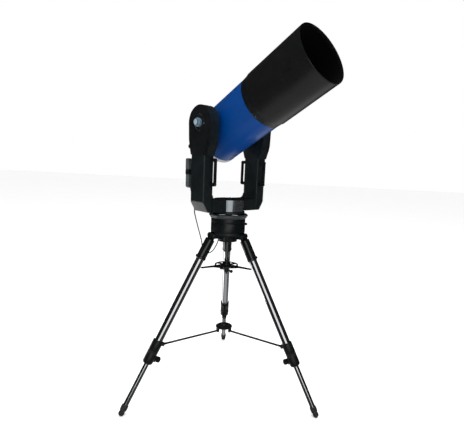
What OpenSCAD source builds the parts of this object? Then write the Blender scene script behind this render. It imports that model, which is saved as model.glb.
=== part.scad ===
// Fork-mounted Schmidt-Cassegrain telescope on a three-leg field tripod.
// Millimetres, +Z up, floor at z = 0, origin under the middle of the footprint box.

/* [Pointing] */
// Direction of the fork about the vertical axis, degrees from +X
az_deg = -48.5; // [-180:0.5:180]
// Altitude of the tube above the horizon at rest
alt_deg = 27; // [0:0.5:60]

/* [Stand] */
// Height of the leg hinge pins above the floor
pivot_h = 1000; // [960:10:1040]
// Radius of the circle through the three feet
foot_r = 648; // [600:1:700]
// Outer radius of the upper leg tubes
leg_r = 24; // [22:0.5:24]
// Outer radius of the lower leg tubes
low_r = 15.5; // [14:0.5:15.5]
// Offset of the vertical axis from the origin
axis_y = -50; // [-80:1:0]

/* [Tube] */
// Outer radius of the main tube
tube_r = 149; // [145:0.5:149]
// Main tube end ahead of the altitude axis
tube_fwd = 266; // [250:1:270]
// Main tube end behind the altitude axis
tube_back = 130; // [120:1:135]
// Outer radius of the dew shield
shield_r = 155; // [154.5:0.1:157]
// Dew shield mouth ahead of the altitude axis
shield_end = 672; // [600:1:700]

/* [Fork] */
// Height of the altitude axis above the floor
alt_h = 1632; // [1620:1:1650]
// Inner face of each fork arm from the centre plane
arm_in = 171; // [170:0.5:174]
// Outer face of each fork arm from the centre plane
arm_out = 239; // [236:0.5:244]
// Underside of the fork above the floor
fork_z = 1149; // [1148:1:1155]

/* [Hidden] */
$fn = 72;
pivot_r = 105;                                   // leg hinge pins from the vertical axis
lean = atan((foot_r - pivot_r) / pivot_h);       // legs from the vertical
leg_len = sqrt(pow(pivot_h, 2) + pow(foot_r - pivot_r, 2));
arm_d = 57;                                      // front face of the fork ahead of the axis
arm_b = 62;                                      // rear face behind it
fork_top = 1217;                                 // top of the fork's cross bar
neck_z = 1462;                                   // where an arm meets its altitude housing
head_r = 92;                                     // radius of the altitude housings
eps = 0.01;
hub_z = 384;                                     // strut hinge line at the hub
hub_r = 47;

// ---------- placing ----------
module at_axis(a = 0) translate([0, axis_y, 0]) rotate([0, 0, a]) children();
module at_fork() at_axis(az_deg) children();
// tube frame: +Z along the tube to the sky, +Y along the altitude axis to the right arm, +X down
module at_tube() at_fork() translate([0, 0, alt_h]) rotate([0, 90 - alt_deg, 0]) children();
// leg frame: +Z down the leg from its hinge pin, +X towards the inside of the stand
module at_leg(a) at_axis(a) translate([pivot_r, 0, pivot_h]) rotate([0, 180 - lean, 0]) children();
// side of the fork: s = -1 left, +1 right; local +Z points outwards, +X forwards, +Y up or down
module at_side(s, u) at_fork() translate([0, s * u, alt_h]) rotate([-90 * s, 0, 0]) children();
module ring(ro, ri, h) difference() { cylinder(r = ro, h = h); translate([0, 0, -1]) cylinder(r = ri, h = h + 2); }
function arc(cx, cy, r, a0, a1, n) = [for (i = [0:n]) let (a = a0 + (a1 - a0) * i / n) [cx + r * cos(a), cy + r * sin(a)]];
// rectangle with round corners, centred on x between y0 and y1
function rbox(x0, x1, y0, y1, r, n = 5) = concat(arc(x1 - r, y0 + r, r, -90, 0, n), arc(x1 - r, y1 - r, r, 0, 90, n),
  arc(x0 + r, y1 - r, r, 90, 180, n), arc(x0 + r, y0 + r, r, 180, 270, n));

// ---------- tripod ----------
module tripod_head() color("#15181b") at_axis() difference() {
  union() {
    translate([0, 0, 962]) cylinder(r = 58, h = 50);
    translate([0, 0, 1004]) cylinder(r = 102, h = 16);
    for (a = [30, 150, 270]) rotate([0, 0, a]) translate([72, 0, 972]) cylinder(r = 22, h = 40);
    for (a = [90, 210, 330]) rotate([0, 0, a]) for (s = [-1, 1])
      translate([0, s * 22, 0]) rotate([90, 0, 0]) translate([0, 0, -6]) linear_extrude(12)
        polygon(concat([[50, 1012], [50, 976], [88, 984]], arc(pivot_r, pivot_h, 19, -60, 60, 6), [[110, 1016]]));
  }
  for (a = [90, 210, 330]) rotate([0, 0, a]) {
    translate([84, -16, 940]) cube([60, 32, 100]);
    translate([pivot_r, 40, pivot_h]) rotate([90, 0, 0]) cylinder(r = 6, h = 80);
  }
  translate([0, 0, 950]) cylinder(r = 9, h = 90);
  translate([0, 0, 950]) cylinder(r = 46, h = 42);
}
module leg_pivot_bolts() color("#8d9296") at_axis() for (a = [90, 210, 330]) rotate([0, 0, a])
  translate([pivot_r, 0, pivot_h]) rotate([90, 0, 0]) {
    translate([0, 0, -34]) cylinder(r = 5.95, h = 68);
    translate([0, 0, 28]) cylinder(r = 9.5, h = 6, $fn = 6);
    translate([0, 0, -34]) cylinder(r = 9.5, h = 6, $fn = 6);
  }
module tension_rod() color("#9aa0a4") at_axis() {
  translate([0, 0, 752]) cylinder(r = 6.5, h = 277);
  translate([0, 0, 984]) cylinder(r = 16, h = 6);
}
module spreader() color("#1a1d20") at_axis() difference() {
  union() {
    for (a = [90, 210, 330]) rotate([0, 0, a]) {
      translate([0, 0, 806]) linear_extrude(5) polygon([[0, -24], [60, -15], [150, -10], [172, -10], [172, 10], [150, 10], [60, 15], [0, 24]]);
      translate([30, -2.5, 790]) rotate([90, 0, 0]) translate([0, 0, -5]) linear_extrude(5) polygon([[0, 0], [60, 12], [138, 16], [138, 17], [0, 17]]);
    }
    translate([0, 0, 808]) ring(72, 63, 5);
    for (a = [30, 150, 270]) rotate([0, 0, a]) translate([18, -7, 808]) cube([50, 14, 5]);
    translate([0, 0, 796]) cylinder(r = 24, h = 26);
    translate([0, 0, 822]) cylinder(r = 13, h = 22);
  }
  translate([0, 0, 780]) cylinder(r = 6.8, h = 80);
}
module tension_handle() color("#111416") at_axis(-47) difference() {
  union() {
    translate([0, 0, 764]) cylinder(r = 14, h = 31);
    translate([-46, 0, 777]) rotate([0, 90, 0]) cylinder(r = 5.5, h = 92);
    for (s = [-1, 1]) translate([s * 46, 0, 777]) sphere(r = 10, $fn = 32);
  }
  translate([0, 0, 760]) cylinder(r = 6.55, h = 50);
}
module strut_hub() color("#1b2024") at_axis() {
  translate([0, 0, hub_z + 18]) rotate_extrude() polygon([[0, 0], [50, 0], [52, 2], [52, 6], [48, 9], [16, 9], [14, 12], [0, 12]]);
  for (a = [90, 210, 330]) rotate([0, 0, a]) for (s = [-1, 1]) translate([37, s * 7 - 2, hub_z - 8]) cube([13, 4, 26 + eps]);
}
module leg_socket(a) color("#121518") at_leg(a) difference() {
  union() {
    translate([0, 15.5, 0]) rotate([90, 0, 0]) linear_extrude(31) polygon(concat(arc(0, 0, 15.5, 180, 360, 10), [[15.5, 26], [-15.5, 26]]));
    translate([0, 0, 24]) rotate_extrude() polygon([[0, 0], [25, 0], [28, 4], [28.5, 116], [30, 118], [30, 128], [27, 131], [0, 131]]);
    translate([-36, -5, 138]) cube([12, 10, 12]);
  }
  translate([0, 30, 0]) rotate([90, 0, 0]) cylinder(r = 6, h = 60);
  translate([0, 0, 44]) cylinder(r = leg_r, h = 130);
}
module upper_leg(a) color("#c9cdd0") at_leg(a) translate([0, 0, 44]) ring(leg_r, leg_r - 2, 686);
module leg_clamp(a) color("#17191c") at_leg(a) difference() {
  union() {
    translate([0, 0, 676]) rotate_extrude() polygon([[0, 0], [28, 0], [30.5, 3], [30.5, 56], [29, 60], [29, 84], [30, 88], [30, 132], [26, 140], [0, 140]]);
    translate([18, -9, 765]) cube([20, 18, 36]);
    for (s = [-1, 1]) translate([24, s * 7.5 - 2.5, 680]) cube([21, 5, 20]);
  }
  translate([0, 0, 670]) cylinder(r = leg_r, h = 60);
  translate([0, 0, 660]) cylinder(r = low_r + 0.4, h = 200);
  translate([14, 0, 783]) rotate([0, 90, 0]) cylinder(r = 4.05, h = 40);
}
module lower_leg(a) color("#c4c8cb") at_leg(a) {
  translate([0, 0, 480]) ring(low_r, low_r - 1.5, leg_len - 44 - 480);
  translate([0, 0, 486]) ring(21.6, low_r, 40);
}
module foot(a) color("#101214") difference() {
  at_leg(a) union() {
    translate([0, 0, leg_len - 66]) rotate_extrude() polygon([[0, 0], [17.5, 0], [19, 2], [19, 30], [16, 34], [13, 40], [13, 47], [0, 47]]);
    translate([0, 0, leg_len - 15.4 / cos(lean)]) sphere(r = 17, $fn = 40);
  }
  at_leg(a) translate([0, 0, leg_len - 70]) cylinder(r = low_r, h = 26);
  // the rubber tip is worn flat where it stands
  at_axis(a) translate([foot_r - 60, -40, -30]) cube([100, 80, 30]);
}
module clamp_knob(a) color("#141618") at_leg(a) translate([20, 0, 783]) rotate([0, 90, 0]) {
  cylinder(r = 4, h = 30);
  translate([0, 0, 19]) difference() {
    rotate_extrude() polygon([[0, 0], [9, 0], [10, 3], [16, 6], [17, 9], [17, 21], [15, 24], [0, 24]]);
    for (k = [0:5]) rotate([0, 0, k * 60]) translate([20, 0, -1]) cylinder(r = 5, h = 40, $fn = 24);
  }
}
// strut: from its pin on the clamp to the hub's open hinge
bx = 38; bs = 690;
sr = pivot_r + bs * sin(lean) - bx * cos(lean);
sz = pivot_h - bs * cos(lean) - bx * sin(lean);
module leg_strut(a) color("#15171a") at_axis(a) translate([sr, 0, sz])
  rotate([0, atan2(hub_z - sz, sr - hub_r), 0]) difference() {
    L = sqrt(pow(sr - hub_r, 2) + pow(hub_z - sz, 2));
    translate([0, 3, 0]) rotate([90, 0, 0]) linear_extrude(6)
      polygon(concat(arc(0, 0, 6, -90, 90, 8), [[-16, 6], [-24, 5]], [[-L + 20, 5]], arc(-L, 0, 5.5, 90, 270, 8), [[-L + 20, -5], [-24, -5], [-16, -6]]));
    translate([0, 10, 0]) rotate([90, 0, 0]) cylinder(r = 3, h = 20);
  }

// ---------- drive base ----------
module base_housing() color("#14181b") at_axis() difference() {
  union() {
    translate([0, 0, 1031]) cylinder(r = 30, h = 7);
    translate([0, 0, 1020]) rotate_extrude() polygon([[0, 0], [101, 0], [103, 2], [103, 56], [101.5, 57], [101.5, 60], [103, 61], [103, 84], [101, 86], [0, 86]]);
    rotate([0, 0, 110]) translate([70, -48, 1030]) cube([38, 96, 66]);
  }
  translate([0, 0, 1032]) ring(94, 30, 6);
  translate([0, 0, 1038]) cylinder(r = 94, h = 56);
  translate([0, 0, 1033]) cylinder(r = 20.05, h = 110);
  translate([0, 0, 1010]) cylinder(r = 6.55, h = 20);
  rotate([0, 0, 110]) translate([90, -44, 1034]) cube([30, 88, 58]);
  rotate([0, 0, 40]) translate([0, 0, 1062]) rotate([0, 90, 0]) cylinder(r = 6.05, h = 130);
}
module control_panel() color("#2a2d30") at_axis(110) difference() {
  translate([102, -44, 1034]) cube([6, 88, 58]);
  translate([100, 2, 1040]) cube([10, 14, 12]);
  translate([105, 24, 1040]) cube([10, 14, 12]);
  translate([105, 10, 1078]) rotate([0, 90, 0]) cylinder(r = 5, h = 12);
  translate([105, 28, 1078]) rotate([0, 90, 0]) cylinder(r = 7, h = 12);
  translate([100, -38, 1068]) cube([10, 22, 15]);
  translate([105, -27, 1075.5]) rotate([90, 0, 0]) translate([0, 0, -12.4]) cylinder(r = 1.55, h = 24.8);
  translate([105, -30, 1046]) rotate([0, 90, 0]) cylinder(r = 7, h = 12);
}
module power_switch() color("#b3261e") at_axis(110) translate([105, -27, 1075.5]) rotate([90, 0, 0]) {
  translate([0, 0, -10.5]) linear_extrude(21) polygon([[-2.5, -6], [2, -6.4], [6.3, -6.4], [4.2, 0], [3.2, 6.4], [-1.4, 6.4], [-2.5, 6]]);
  translate([0, 0, -12]) cylinder(r = 1.5, h = 24);
}
module azimuth_gear() color("#b48a3c") at_axis() {
  translate([0, 0, 1034]) cylinder(r = 20, h = 98.5);
  translate([0, 0, 1040]) cylinder(r = 34, h = 12);
  translate([0, 0, 1052]) linear_extrude(14) polygon([for (k = [0:239]) let (r = (k % 4 < 2) ? 80 : 77.4) [r * cos(k * 1.5), r * sin(k * 1.5)]]);
}
module azimuth_lock_lever() color("#16191b") at_axis(40) translate([0, 0, 1062]) rotate([0, 90, 0]) {
  translate([0, 0, 88]) cylinder(r = 6, h = 20);
  translate([0, 0, 104.5]) cylinder(r = 12, h = 12);
  translate([0, 0, 107]) linear_extrude(8) polygon(concat(arc(0, 0, 9, 135, 225, 4), arc(0, -40, 7, 180, 360, 8), [[7, 6]]));
}
module azimuth_circle() color("#1c2023") at_axis() difference() {
  translate([0, 0, 1107]) rotate_extrude() polygon([[101, 0], [108, 0], [110, 3], [110, 8], [114, 9.5], [116.5, 13], [116.5, 17], [114, 21], [110, 22.5], [101, 22.5]]);
  translate([0, 0, 1100]) cylinder(r = 98, h = 40);
}

// ---------- fork ----------
module fork_base() color("#161a1d") at_fork() difference() {
  union() {
    translate([0, 0, 1132.5]) rotate_extrude() polygon([[0, 0], [96, 0], [97, 2], [97, 12], [90, 16.5], [90, 82.5], [88, 84.5], [0, 84.5]]);
    translate([arm_d, 0, 0]) rotate([0, -90, 0]) linear_extrude(arm_d + arm_b)
      polygon(concat([[fork_z, -arm_in], [fork_z, arm_in]], [for (p = arc(fork_top + 28, arm_in - 28, 28, 90, 180, 6)) [p[0], p[1]]],
        [for (p = arc(fork_top + 28, -arm_in + 28, 28, 180, 270, 6)) [p[0], p[1]]]));
  }
  translate([0, 0, 1120]) cylinder(r = 60, h = 12.5 + eps);
  translate([-30, -60, 1160]) cube([60, 120, 40]);
}
// outline of an arm seen along the fork's depth: [height, distance from the centre plane]
module arm_blank(s) {
  intersection() {
    translate([0, 0, fork_z]) linear_extrude(neck_z - fork_z)
      polygon(s > 0 ? rbox(-arm_b, arm_d, arm_in, arm_out, 9) : rbox(-arm_b, arm_d, -arm_out, -arm_in, 9));
    translate([100, 0, 0]) rotate([0, -90, 0]) linear_extrude(200)
      polygon([for (p = [[fork_z, arm_in - 2], [fork_z, 200], [fork_z + 5, 206], [1205, arm_out - 2], [1213, arm_out + 1], [neck_z + 2, arm_out + 1], [neck_z + 2, arm_in - 2]]) [p[0], s * p[1]]]);
  }
}
function head_pts(r, k) = concat(arc(0, 0, r, -8, 188, 36), [[-r + 3 - k, -alt_h + 1545], [-r + 9 - k, -alt_h + 1515], [-arm_b - 1 + k, -alt_h + neck_z], [arm_d + 1 - k, -alt_h + neck_z], [r - 9 + k, -alt_h + 1515], [r - 3 + k, -alt_h + 1545]]);
// housing slab between two distances from the centre plane
module head_slab(s, u0, u1, r, k = 0) at_fork() translate([0, s > 0 ? u1 : -u0, alt_h]) rotate([90, 0, 0]) linear_extrude(u1 - u0) polygon(head_pts(r, k));
module fork_arm(s) color("#15191c") difference() {
  union() {
    at_fork() arm_blank(s);
    head_slab(s, arm_in, arm_out - 16, head_r);
    head_slab(s, arm_in + 3, arm_in + 40, head_r + 1.2, 0);
  }
  // hollow of the casting
  at_fork() translate([-arm_b + 7, s > 0 ? arm_in + 7 : -arm_out + 7, 1235]) cube([arm_d + arm_b - 14, arm_out - arm_in - 14, 215]);
  at_side(s, arm_in + 9) cylinder(r = 80, h = 100);
  at_side(s, 0) cylinder(r = 20.06, h = 300);
  if (s < 0) at_fork() translate([0, -arm_out + 22, 1508]) rotate([0, -90, 0]) translate([0, 0, 40]) cylinder(r = 4.06, h = 70);
}
module altitude_cover(s) color("#191d20") difference() {
  union() {
    head_slab(s, arm_out - 16, arm_out - 4, head_r + 0.6);
    head_slab(s, arm_out - 4 - eps, arm_out + 1, head_r - 4, -1);
  }
  at_side(s, arm_out - 20) cylinder(r = 80, h = 9);
  at_side(s, arm_out - 8) cylinder(r = 48, h = 20);
  at_side(s, 0) cylinder(r = s < 0 ? 8.06 : 3, h = 300);
}
hz = [1306, 1438];
module handle(s, f) at_fork() translate([f > 0 ? arm_d : -arm_b, s * 190, 0]) mirror([f > 0 ? 0 : 1, 0, 0]) {
  translate([0, 6.5, 0]) rotate([90, 0, 0]) linear_extrude(13)
    polygon(concat([[0, hz[0] - 9], [16, hz[0] - 9]], arc(30, hz[0] + 3, 12, -90, 0, 5), arc(30, hz[1] - 3, 12, 0, 90, 5),
      [[16, hz[1] + 9], [0, hz[1] + 9], [0, hz[1] - 9], [16, hz[1] - 9]], arc(24, hz[1] - 15, 6, 90, 0, 4), arc(24, hz[0] + 15, 6, 0, -90, 4),
      [[16, hz[0] + 9], [0, hz[0] + 9]]));
}
module carry_handles() color("#0f1113") for (s = [-1, 1], f = [-1, 1]) difference() {
  handle(s, f);
  for (z = hz) at_fork() translate([0, s * 190, z]) rotate([0, f * 90, 0]) cylinder(r = 3, h = 200);
}
module handle_bolts() color("#c8ccd0") for (s = [-1, 1], f = [-1, 1], z = hz)
  at_fork() translate([f > 0 ? arm_d : -arm_b, s * 190, z]) rotate([0, f * 90, 0]) {
    cylinder(r = 3, h = 43);
    translate([0, 0, 42]) cylinder(r = 5, h = 3.4);
  }
module altitude_lock_knob() color("#46535c") at_side(-1, arm_out) {
  translate([0, 0, -14]) cylinder(r = 8, h = 16);
  difference() {
    translate([0, 0, -7]) rotate_extrude() polygon([[0, 0], [22, 0], [24, 3], [24, 17], [21.5, 21], [0, 22.5]]);
    for (k = [0:11]) rotate([0, 0, k * 30]) translate([25.4, 0, -4]) cylinder(r = 2.6, h = 30, $fn = 16);
  }
}
module altitude_slow_knob() color("#15181a") at_fork() translate([0, -arm_out + 22, 1508]) rotate([0, -90, 0]) {
  translate([0, 0, 60]) cylinder(r = 4, h = 34);
  translate([0, 0, 89]) rotate_extrude() polygon([[0, 0], [8, 0], [13, 3], [13, 13], [11, 16], [0, 16]]);
}
// ---------- hand controller ----------
hc_u = -186; hc_t = -arm_b - 47;
module controller_bracket() color("#1b1e20") at_fork() difference() {
  union() {
    translate([hc_t + 1, -214, 1352]) cube([8, 46, 30]);
    translate([hc_t - 26, hc_u - 37, 1352]) cube([35, 5, 26]);
    translate([hc_t - 26, hc_u + 32, 1352]) cube([35, 5, 26]);
    translate([hc_t + 1, hc_u - 37, 1352]) cube([8, 74, 26]);
  }
  translate([hc_t + 4.9, -196.8, 1340]) cube([20, 13.6, 60]);
}
module hand_controller() color("#2b3033") at_fork() translate([hc_t, hc_u, 0]) rotate([0, -90, 0]) difference() {
  union() {
    linear_extrude(30) polygon([for (p = concat(arc(1274 + 14, -18, 14, 180, 270, 5), [[1350, -31.5], [1378, -31.5], [1384, -34]], arc(1432, -24, 10, -90, 0, 4),
      arc(1432, 24, 10, 0, 90, 4), [[1384, 34], [1378, 31.5], [1350, 31.5]], arc(1274 + 14, 18, 14, 90, 180, 5))) p]);
  }
  translate([1296, -21, 27]) cube([74, 42, 10]);
  translate([1392, -27, 27.5]) cube([34, 54, 10]);
}
module controller_keypad() color("#b9bec1") at_fork() translate([hc_t, hc_u, 0]) rotate([0, -90, 0]) {
  translate([1296, -21, 27]) cube([74, 42, 2]);
  for (i = [0:5], j = [0:2]) translate([1303 + i * 12, -13 + j * 13, 28]) cylinder(r = 4, h = 3.2, $fn = 20);
  translate([1392, -27, 27.5]) cube([34, 54, 1]);
}
// handset lead: route points relative to the vertical axis
cord_r = 3.2;
lower_pts = [[-51.3, 114.7, 1046], [-55.5, 126, 1045], [-61, 136, 1032], [-63, 138, 1008], [-62, 132, 980], [-58, 119, 952], [-64, 102, 922], [-84, 74, 886], [-104, 54, 871],
  [-124, 39, 870], [-143, 26, 886], [-152, 17, 912], [-156, 9, 946], [-166, -4, 990], [-179, -20, 1042], [-190, -36, 1090], [-198, -50, 1128], [-199, -52, 1143]];
upper_pts = [[-199, -52, 1143.8], [-200, -52.6, 1158], [-206, -53, 1184], [-212, -52, 1216], [-219, -50, 1248], [-223, -47, 1273.6]];
function cr(p, i, t) = let (n = len(p) - 1, a = p[max(i - 1, 0)], b = p[i], c = p[min(i + 1, n)], d = p[min(i + 2, n)])
  0.5 * ((2 * b) + (c - a) * t + (2 * a - 5 * b + 4 * c - d) * t * t + (3 * b - a - 3 * c + d) * t * t * t);
function route(p, m) = concat([for (i = [0:len(p) - 2], k = [0:m - 1]) cr(p, i, k / m)], [p[len(p) - 1]]);
function unit(v) = v / norm(v);
function sweep_pts(c, r, n) = [for (i = [0:len(c) - 1])
  let (t = unit(c[min(i + 1, len(c) - 1)] - c[max(i - 1, 0)]),
    x = unit(cross(t, abs(t[0]) < 0.8 ? [1, 0.13, 0] : [0, 1, 0.1])), y = cross(t, x))
  for (k = [0:n - 1]) c[i] + r * (cos(k * 360 / n) * x + sin(k * 360 / n) * y)];
module sweep(c, r, n) {
  m = len(c);
  polyhedron(points = sweep_pts(c, r, n), faces = concat([[for (k = [n - 1:-1:0]) k]], [[for (k = [0:n - 1]) (m - 1) * n + k]],
    [for (i = [0:m - 2], k = [0:n - 1]) [i * n + k, i * n + (k + 1) % n, (i + 1) * n + (k + 1) % n, (i + 1) * n + k]]), convexity = 10);
}
module cord_lower() color("#121416") at_axis() sweep(route(lower_pts, 3), cord_r, 8);
module cord_upper() color("#121416") at_axis() sweep(route(upper_pts, 3), cord_r, 8);
module cord_plug() color("#1d2022") at_axis(110) translate([102, 0, 1046]) {
  translate([2, 3, -5]) cube([14, 12, 10]);
  translate([16, 5, -4]) cube([7, 8, 8]);
}

// ---------- optical tube ----------
module optical_tube() color("#0a3a80") at_tube() translate([0, 0, -tube_back]) ring(tube_r, tube_r - 2, tube_back + tube_fwd);
module front_cell() color("#141619") at_tube() translate([0, 0, tube_fwd]) rotate_extrude()
  polygon([[tube_r - 14, -12], [tube_r - 2.05, -12], [tube_r - 2.05, 0], [tube_r + 0.5, 0], [tube_r + 2, 22], [152.4, 40], [152.4, 66], [148, 70], [138, 70], [138, 58], [124, 58], [124, 47], [132, 40], [135, 20]]);
module corrector_plate() color("#b9d4dc", 0.35) at_tube() translate([0, 0, tube_fwd + 58]) difference() {
  cylinder(r = 137.5, h = 6);
  translate([0, 0, -1]) cylinder(r = 30, h = 8);
}
module secondary_cell() color("#17191b") at_tube() translate([0, 0, tube_fwd + 58]) rotate_extrude()
  polygon([[0, -34], [34, -34], [36, -32], [36, -14], [29.9, -14], [29.9, 6], [42, 6], [46, 10], [46, 18], [42, 22], [14, 22], [12, 20], [0, 20]]);
module dew_shield() color("#16181a") at_tube() rotate_extrude()
  polygon([[152.8, 308], [154.4, 306], [shield_r, 308], [shield_r, shield_end - 3], [shield_r - 1, shield_end], [151.8, shield_end], [151, shield_end - 3], [151, shield_end - 12], [152.8, shield_end - 14]]);
module rear_cell() color("#a9aeb1") at_tube() difference() {
  rotate_extrude() polygon([[0, -196], [64, -196], [70, -192], [118, -186], [140, -172], [149.5, -156], [150.5, -132], [149, -130.1], [146.9, -130.1], [146.9, -116], [139, -116], [139, -160], [112, -176], [40, -182], [40, -174], [26, -174], [26, -182], [0, -182]]);
  translate([0, 0, -210]) cylinder(r = 22, h = 60);
  translate([-72, 26, -210]) cylinder(r = 5.05, h = 60);
}
module baffle_tube() color("#202325") at_tube() translate([0, 0, -187.9]) ring(22, 19.5, 288);
module primary_mirror() color("#cfd8dc") at_tube() difference() {
  union() {
    translate([0, 0, -150]) rotate_extrude() polygon([[32, 0], [60, 0], [127, 6], [128, 8], [128, 30], [127, 32], [96, 26.6], [64, 22.8], [32, 20.6]]);
    translate([0, 0, -160]) cylinder(r = 32.1, h = 34);
    translate([0, 0, -126]) cylinder(r = 36, h = 4);
  }
  translate([0, 0, -200]) cylinder(r = 22.06, h = 100);
}
module focus_knob() color("#121416") at_tube() translate([-72, 26, 0]) {
  translate([0, 0, -214]) cylinder(r = 5, h = 44);
  difference() {
    translate([0, 0, -228]) rotate_extrude() polygon([[0, 0], [15, 0], [18, 3], [18, 26], [16, 28], [9, 28], [9, 34], [0, 34]]);
    for (k = [0:15]) rotate([0, 0, k * 22.5]) translate([18.8, 0, -225]) cylinder(r = 1.8, h = 21, $fn = 16);
  }
}
module visual_back() color("#1c1f21") at_tube() difference() {
  translate([0, 0, -238]) rotate_extrude() polygon([[0, 0], [21, 0], [22, 1], [22, 24], [29, 27], [31, 30], [31, 40], [29, 42], [21.9, 42], [21.9, 50], [0, 50]]);
  translate([0, 0, -240]) cylinder(r = 15.95, h = 40);
  translate([0, 0, -202]) cylinder(r = 19.6, h = 20);
}
module altitude_trunnions() color("#17191c") at_tube() difference() {
  union() for (s = [-1, 1]) {
    translate([0, s * 120, 0]) rotate([-90 * s, 0, 0]) cylinder(r = 58, h = 44);
    translate([0, s * 160, 0]) rotate([-90 * s, 0, 0]) cylinder(r = 30, h = 9.5);
    translate([0, s * 150, 0]) rotate([-90 * s, 0, 0]) cylinder(r = 20, h = 66);
  }
  translate([0, 0, -300]) cylinder(r = tube_r, h = 700);
}
module altitude_gear() color("#b48a3c") at_tube() rotate([90, 0, 0]) translate([0, 0, 192]) difference() {
  linear_extrude(12) polygon([for (k = [0:191]) let (r = (k % 4 < 2) ? 72 : 69.4) [r * cos(k * 1.875), r * sin(k * 1.875)]]);
  translate([0, 0, -5]) cylinder(r = 20, h = 30);
}

tripod_head();
leg_pivot_bolts();
tension_rod();
spreader();
tension_handle();
strut_hub();
leg_socket(210);  // leg_socket_left
upper_leg(210);  // upper_leg_left
leg_clamp(210);  // leg_clamp_left
lower_leg(210);  // lower_leg_left
foot(210);  // foot_left
clamp_knob(210);  // clamp_knob_left
leg_strut(210);  // leg_strut_left
leg_socket(330);  // leg_socket_right
upper_leg(330);  // upper_leg_right
leg_clamp(330);  // leg_clamp_right
lower_leg(330);  // lower_leg_right
foot(330);  // foot_right
clamp_knob(330);  // clamp_knob_right
leg_strut(330);  // leg_strut_right
leg_socket(90);  // leg_socket_rear
upper_leg(90);  // upper_leg_rear
leg_clamp(90);  // leg_clamp_rear
lower_leg(90);  // lower_leg_rear
foot(90);  // foot_rear
clamp_knob(90);  // clamp_knob_rear
leg_strut(90);  // leg_strut_rear
base_housing();
control_panel();
power_switch();
azimuth_gear();
azimuth_lock_lever();
azimuth_circle();
fork_base();
fork_arm(-1);  // fork_arm_left
fork_arm(1);  // fork_arm_right
altitude_cover(-1);  // altitude_cover_left
altitude_cover(1);  // altitude_cover_right
carry_handles();
handle_bolts();
altitude_lock_knob();
altitude_slow_knob();
controller_bracket();
hand_controller();
controller_keypad();
cord_lower();
cord_upper();
cord_plug();
optical_tube();
front_cell();
corrector_plate();
secondary_cell();
dew_shield();
rear_cell();
baffle_tube();
primary_mirror();
focus_knob();
visual_back();
altitude_trunnions();
altitude_gear();
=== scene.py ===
import bpy, bmesh, math
import numpy as np
from mathutils import Vector, Matrix


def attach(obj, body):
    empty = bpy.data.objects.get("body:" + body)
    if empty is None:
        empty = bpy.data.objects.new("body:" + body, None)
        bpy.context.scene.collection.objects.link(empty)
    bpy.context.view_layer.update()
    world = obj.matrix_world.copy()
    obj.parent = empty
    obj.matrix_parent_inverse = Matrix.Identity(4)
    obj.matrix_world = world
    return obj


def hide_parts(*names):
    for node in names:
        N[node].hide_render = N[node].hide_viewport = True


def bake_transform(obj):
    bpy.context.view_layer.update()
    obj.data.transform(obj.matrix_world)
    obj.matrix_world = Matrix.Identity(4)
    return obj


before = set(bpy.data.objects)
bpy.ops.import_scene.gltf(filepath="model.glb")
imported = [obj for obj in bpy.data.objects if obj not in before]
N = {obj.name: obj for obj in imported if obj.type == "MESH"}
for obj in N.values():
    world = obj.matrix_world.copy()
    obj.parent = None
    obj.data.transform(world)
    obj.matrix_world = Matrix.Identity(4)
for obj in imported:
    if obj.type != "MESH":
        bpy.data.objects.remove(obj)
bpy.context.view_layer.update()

scene = bpy.context.scene

# ------------------------------------------------------------------ frames
AY = -0.050
AZ, ALT = math.radians(-48.5), math.radians(27.0)
H = 1.632
T = Vector((math.cos(AZ), math.sin(AZ), 0)); U = Vector((-math.sin(AZ), math.cos(AZ), 0)); Z = Vector((0, 0, 1))
D = T * math.cos(ALT) + Z * math.sin(ALT)
DN = T * math.sin(ALT) - Z * math.cos(ALT)
LEAN = math.atan2(0.543, 1.0); LL = math.hypot(0.543, 1.0)
LEGS = {"left": 210, "right": 330, "rear": 90}


def frame_matrix(x, y, z, o):
    m = Matrix.Identity(4)
    for i in range(3):
        m[i][0], m[i][1], m[i][2], m[i][3] = x[i], y[i], z[i], o[i]
    return m


def m_axis(deg=0):
    return Matrix.Translation((0, AY, 0)) @ Matrix.Rotation(math.radians(deg), 4, "Z")


M_TUBE = frame_matrix(DN, U, D, (0, AY, H))
M_FORK = frame_matrix(T, U, Z, (0, AY, 0))


def m_leg(deg):
    a = math.radians(deg)
    R = Vector((math.cos(a), math.sin(a), 0)); Y = Vector((-math.sin(a), math.cos(a), 0))
    zz = R * math.sin(LEAN) - Z * math.cos(LEAN)
    xx = -R * math.cos(LEAN) - Z * math.sin(LEAN)
    return frame_matrix(xx, Y, zz, Vector((0, AY, 1.0)) + R * 0.105)


def m_side(s, u):
    """Side of the fork: +Z outwards, +X forwards, +Y up on the left and down on the right."""
    return Matrix.Translation((0, AY, 0)) @ Matrix.Rotation(AZ, 4, "Z") @ Matrix.Translation((0, s * u, H)) @ Matrix.Rotation(-s * math.pi / 2, 4, "X")


# ------------------------------------------------------------------ camera and stage
cam_data = bpy.data.cameras.new("camera"); cam = bpy.data.objects.new("camera", cam_data); scene.collection.objects.link(cam)
roll, yaw, pitch = 0.05339, -0.06844, 0.17977
R0 = Vector((math.cos(yaw), math.sin(yaw), 0)); cp, sp = math.cos(pitch), math.sin(pitch)
FW = Vector((-math.sin(yaw) * cp, math.cos(yaw) * cp, -sp)); U0 = Vector((-math.sin(yaw) * sp, math.cos(yaw) * sp, cp))
right = R0 * math.cos(roll) + U0 * math.sin(roll); up = U0 * math.cos(roll) - R0 * math.sin(roll)
cam.matrix_world = frame_matrix(right, up, -FW, (0, -2.24514 + AY, 1.41993))
cam_data.sensor_width = 36; cam_data.sensor_fit = "HORIZONTAL"; cam_data.lens = 374.188 / 464 * 36
cam_data.shift_x = (232 - 252.9195) / 464; cam_data.shift_y = (233.640 - 217.5) / 464
cam_data.clip_end = 100
scene.camera = cam

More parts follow.
